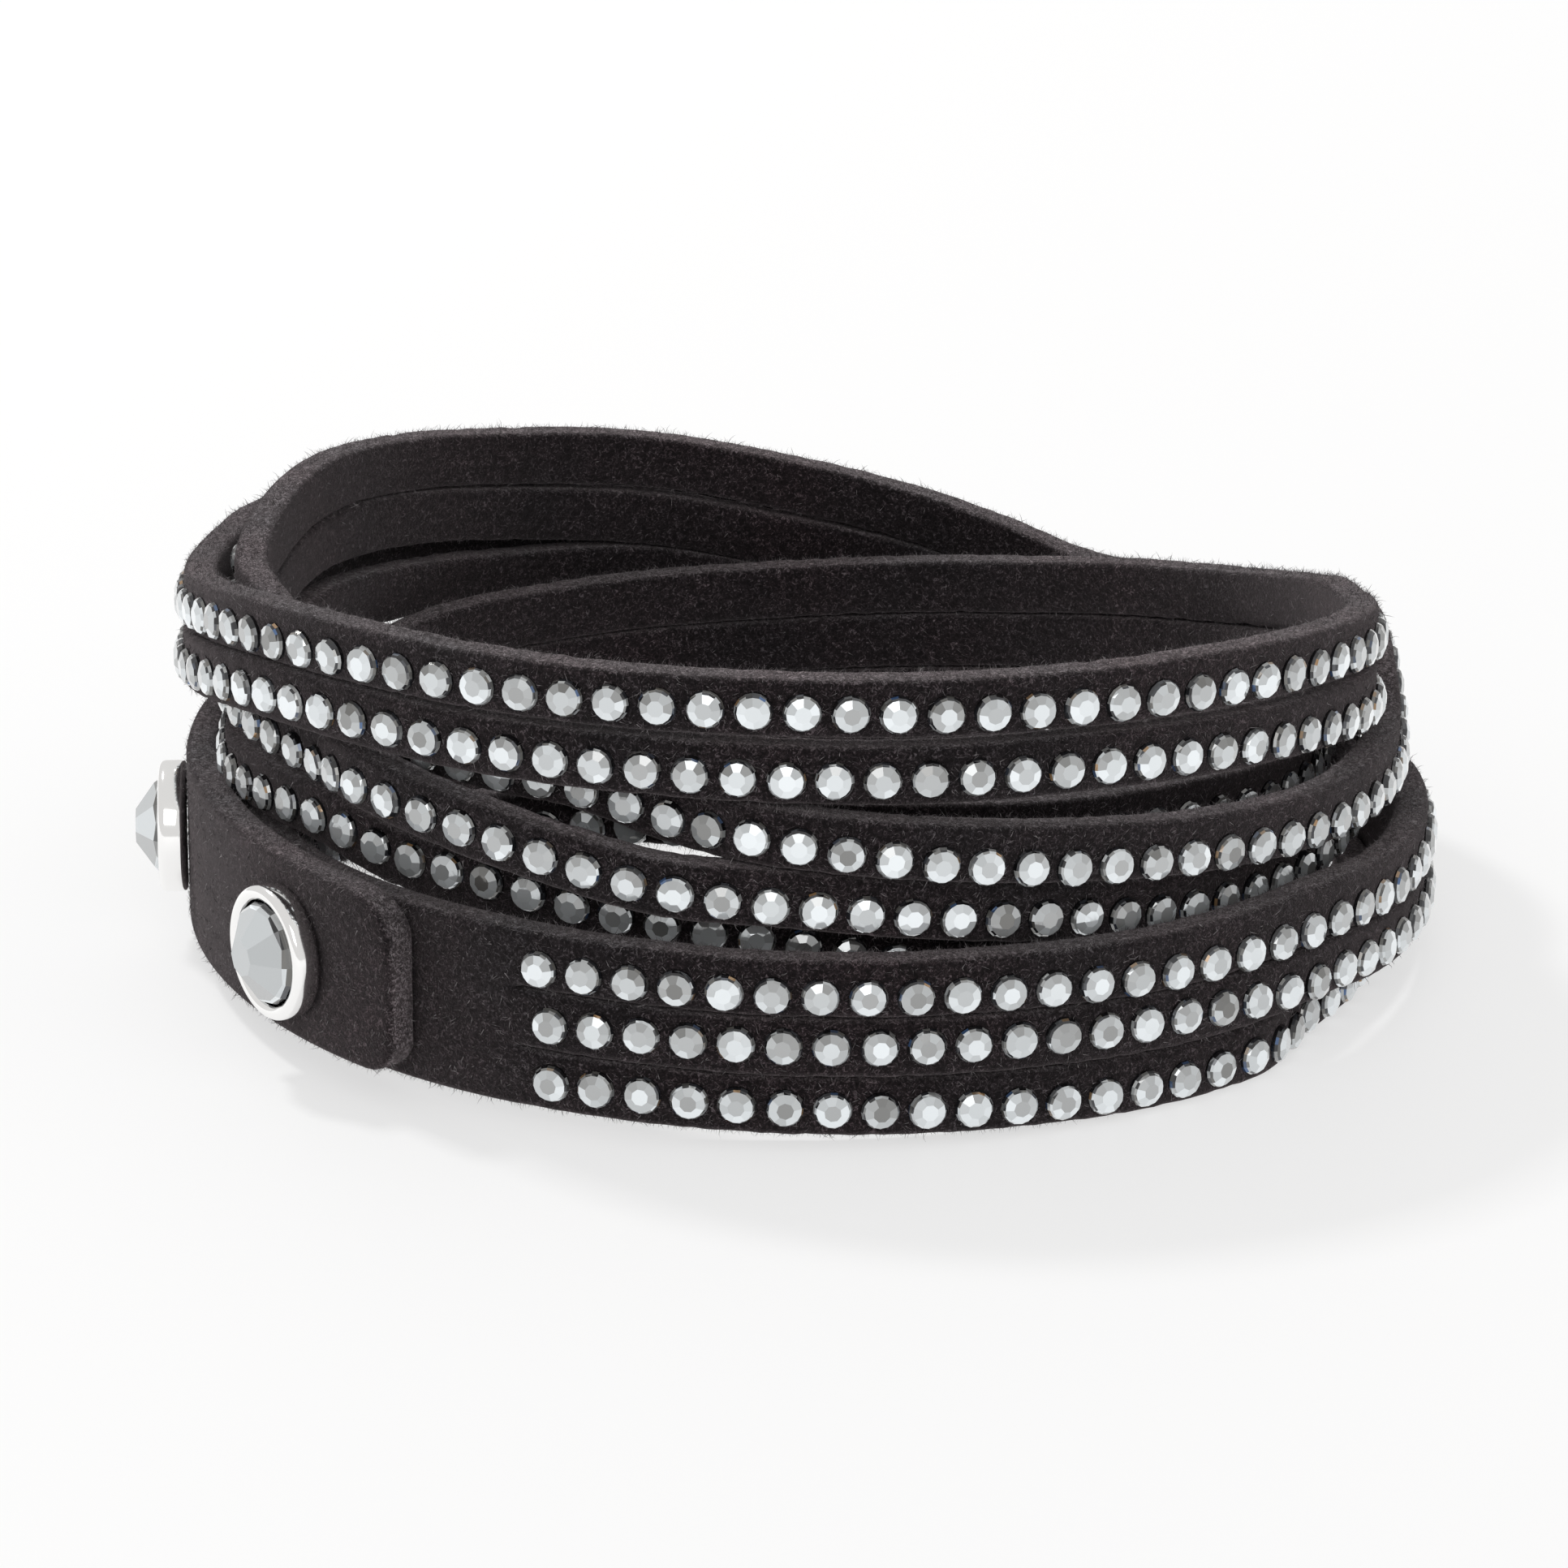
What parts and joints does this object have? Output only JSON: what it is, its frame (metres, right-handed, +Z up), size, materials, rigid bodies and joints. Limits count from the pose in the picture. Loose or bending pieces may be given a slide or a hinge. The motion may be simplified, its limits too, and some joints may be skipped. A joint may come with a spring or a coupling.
{
  "type": "wrap bracelet",
  "caption": "Wrap bracelet: a long suede strap slit into crossing strips with rows of small crystals, closed by round stone-set snaps.",
  "frame": {"origin": "middle of the bracelet's box, on the surface that its lower edge rests on", "axes": "+Z up through the hollow, -Y the side that faces the viewer, the snaps on the left at -X and -Y"},
  "size_m": [0.0692, 0.0668, 0.0245],
  "materials": {
    "suede": "matte, napped",
    "silver_metal": "polished",
    "crystal": "faceted, clear"
  },
  "bodies": {
    "root": {"strap": "suede", "snap_cap_front": "silver_metal", "snap_cap_side": "silver_metal", "stone_front": "crystal", "stone_side": "crystal", "snap_post_front": "silver_metal", "snap_post_side": "silver_metal"}
  },
  "joints": []
}
